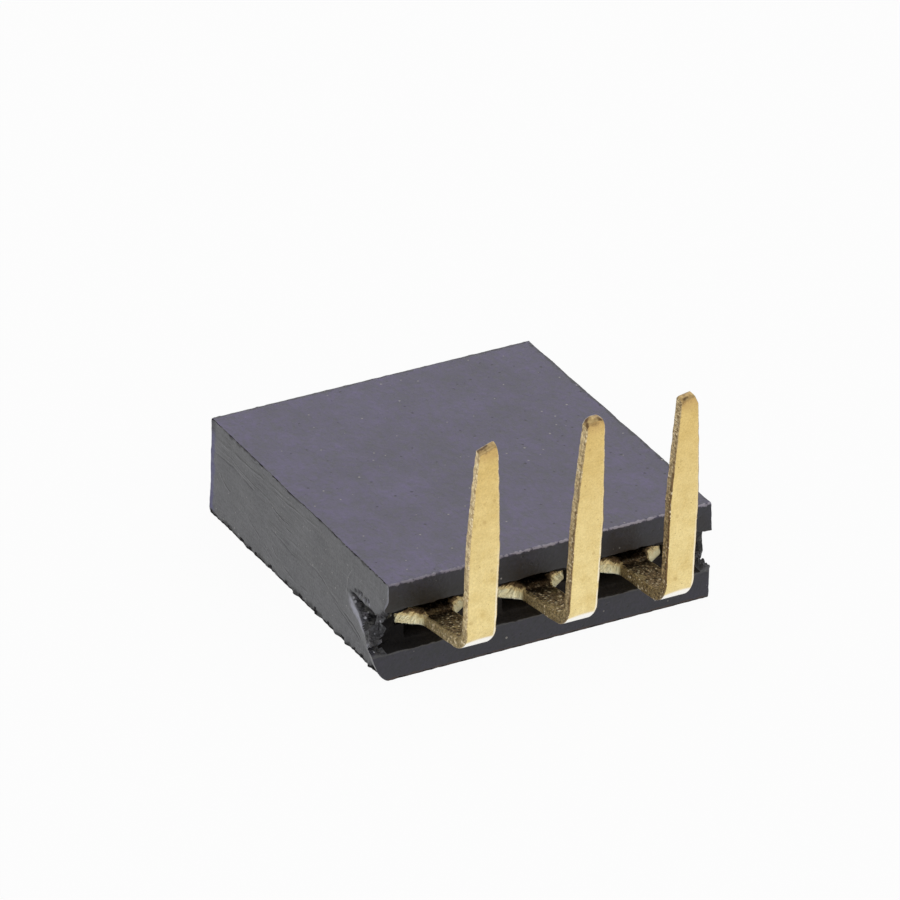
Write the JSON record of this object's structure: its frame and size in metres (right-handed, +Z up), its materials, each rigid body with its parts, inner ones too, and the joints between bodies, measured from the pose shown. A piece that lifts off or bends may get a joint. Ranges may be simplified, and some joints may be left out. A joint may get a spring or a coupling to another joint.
{
  "type": "right angle female header",
  "caption": "Low single-row socket header with a rear slot, forked contacts inside and flat solder legs bent up at a right angle.",
  "frame": {"origin": "on the resting face, below the middle contact and halfway along the housing's depth", "axes": "+X along the row of contacts, from the torn end to the other end; +Y from the solder legs to the mating face; +Z up, the way the solder legs point"},
  "size_m": [0.0089, 0.0103, 0.0066],
  "materials": {
    "housing_plastic": "moulded, matt, glass-filled",
    "plated_contact": "thin gold plating over stamped copper alloy strip"
  },
  "bodies": {
    "root": {"housing": "housing_plastic", "contact_1": "plated_contact", "contact_2": "plated_contact", "contact_3": "plated_contact"}
  },
  "joints": []
}
